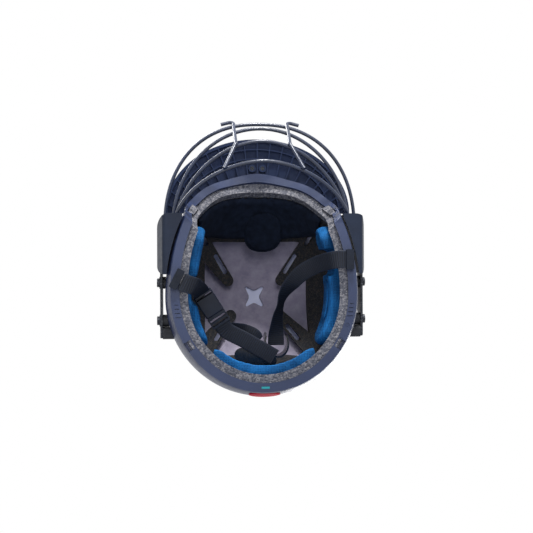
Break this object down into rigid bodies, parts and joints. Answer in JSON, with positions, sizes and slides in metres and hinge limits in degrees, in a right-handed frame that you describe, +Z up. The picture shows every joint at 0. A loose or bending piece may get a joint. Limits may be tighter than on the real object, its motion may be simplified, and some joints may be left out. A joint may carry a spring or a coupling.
{
  "type": "batting helmet",
  "caption": "Hard-shell batting helmet with a peak, a bolted wire face guard that tilts, foam liner, comfort pads and a chin strap with a side-release buckle.",
  "frame": {"origin": "middle of the footprint, on the surface that the helmet stands on", "axes": "+Z up out of the crown, -Y the way the wearer looks, +X the wearer's left"},
  "size_m": [0.2442, 0.3261, 0.187],
  "materials": {
    "shell_navy": "satin",
    "trim_navy": "satin",
    "peak_navy": "satin",
    "cover_navy": "satin",
    "coated_wire": "satin",
    "guard_steel": "satin",
    "black_steel": "satin",
    "black_rubber": "matte",
    "badge_red": "gloss",
    "insert_turquoise": "matte",
    "liner_foam": "matte",
    "inner_skin": "matte",
    "felt": "matte",
    "dark_cloth": "matte",
    "blue_mesh": "matte",
    "webbing": "matte",
    "buckle_black": "satin",
    "cup_black": "gloss"
  },
  "bodies": {
    "helmet": {"anchor_left": "webbing", "anchor_right": "webbing", "badge": "badge_red", "bolt_front_left": "black_steel", "bolt_front_right": "black_steel", "bolt_rear_left": "black_steel", "bolt_rear_right": "black_steel", "boss_front_left": "black_rubber", "boss_front_right": "black_rubber", "boss_rear_left": "black_rubber", "boss_rear_right": "black_rubber", "buckle_female": "buckle_black", "chin_cup": "cup_black", "crown_liner": "liner_foam", "crown_pad": "felt", "end_block_left": "black_rubber", "end_block_right": "black_rubber", "forehead_backing": "dark_cloth", "forehead_pad": "dark_cloth", "forehead_tongue": "dark_cloth", "liner_ring": "liner_foam", "lining": "inner_skin", "nut_front_left": "black_steel", "nut_front_right": "black_steel", "nut_rear_left": "black_steel", "nut_rear_right": "black_steel", "peak": "peak_navy", "peak_screw_left": "black_steel", "peak_screw_right": "black_steel", "rear_insert": "insert_turquoise", "rear_pad": "blue_mesh", "rim_trim": "trim_navy", "shell": "shell_navy", "side_flap_left": "blue_mesh", "side_flap_right": "blue_mesh", "side_pad_left": "blue_mesh", "side_pad_right": "blue_mesh", "washer_front_left": "black_steel", "washer_front_right": "black_steel", "washer_rear_left": "black_steel", "washer_rear_right": "black_steel", "web_double": "webbing", "web_left": "webbing", "web_right": "webbing", "web_tail": "webbing"},
    "guard": {"arm_left": "guard_steel", "arm_right": "guard_steel", "bar_a": "coated_wire", "bar_b": "coated_wire", "bar_c": "coated_wire", "bar_d": "coated_wire", "cover_left": "cover_navy", "cover_right": "cover_navy", "upright_left": "coated_wire", "upright_right": "coated_wire"},
    "buckle_tongue": {"buckle_male": "buckle_black"},
    "prong_right": {"prong_right": "buckle_black"},
    "prong_left": {"prong_left": "buckle_black"}
  },
  "joints": [
    {"name": "guard_tilt", "type": "hinge", "parent": "helmet", "child": "guard", "pos_m": [0, 0.028, 0.045], "axis": [-1, 0, 0], "range_deg": [-3, 5]},
    {"name": "buckle_release", "type": "slide", "parent": "helmet", "child": "buckle_tongue", "axis": [0.5251, 0.8322, 0.1783], "range_m": [0, 0.024], "deforming": ["web_double", "web_tail"]},
    {"name": "prong_right_flex", "type": "hinge", "parent": "buckle_tongue", "child": "prong_right", "pos_m": [-0.06205, 0.07035, 0.06532], "axis": [-0.0952, -0.1508, 0.984], "range_deg": [0, 17.5]},
    {"name": "prong_left_flex", "type": "hinge", "parent": "buckle_tongue", "child": "prong_left", "pos_m": [-0.04768, 0.06128, 0.06532], "axis": [0.0952, 0.1508, -0.984], "range_deg": [0, 17.5]}
  ],
  "couplings": [
    {"joint": "prong_right_flex", "follows": "buckle_release", "rad_per_m": 12.5},
    {"joint": "prong_left_flex", "follows": "buckle_release", "rad_per_m": 12.5}
  ]
}
